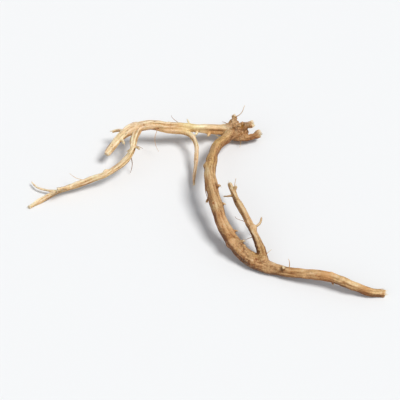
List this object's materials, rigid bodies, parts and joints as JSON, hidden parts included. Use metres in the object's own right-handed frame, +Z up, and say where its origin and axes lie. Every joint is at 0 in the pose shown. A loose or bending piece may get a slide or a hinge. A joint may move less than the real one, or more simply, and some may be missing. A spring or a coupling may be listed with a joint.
{
  "type": "ginseng root",
  "caption": "Dried branching root with a knotted crown, long arching legs and thin side rootlets, lying on low points of its own.",
  "frame": {"origin": "on the surface that the root lies on, under the middle of its length and width", "axes": "+Z up from the surface; +X along the root's length, towards the tip of the thick right leg; +Y towards the crown"},
  "size_m": [0.0974, 0.0629, 0.011],
  "materials": {
    "dried_root": "dull furrowed dried root skin, pale tan with browner furrows and scars"
  },
  "bodies": {
    "root": {"ginseng_root": "dried_root"}
  },
  "joints": []
}
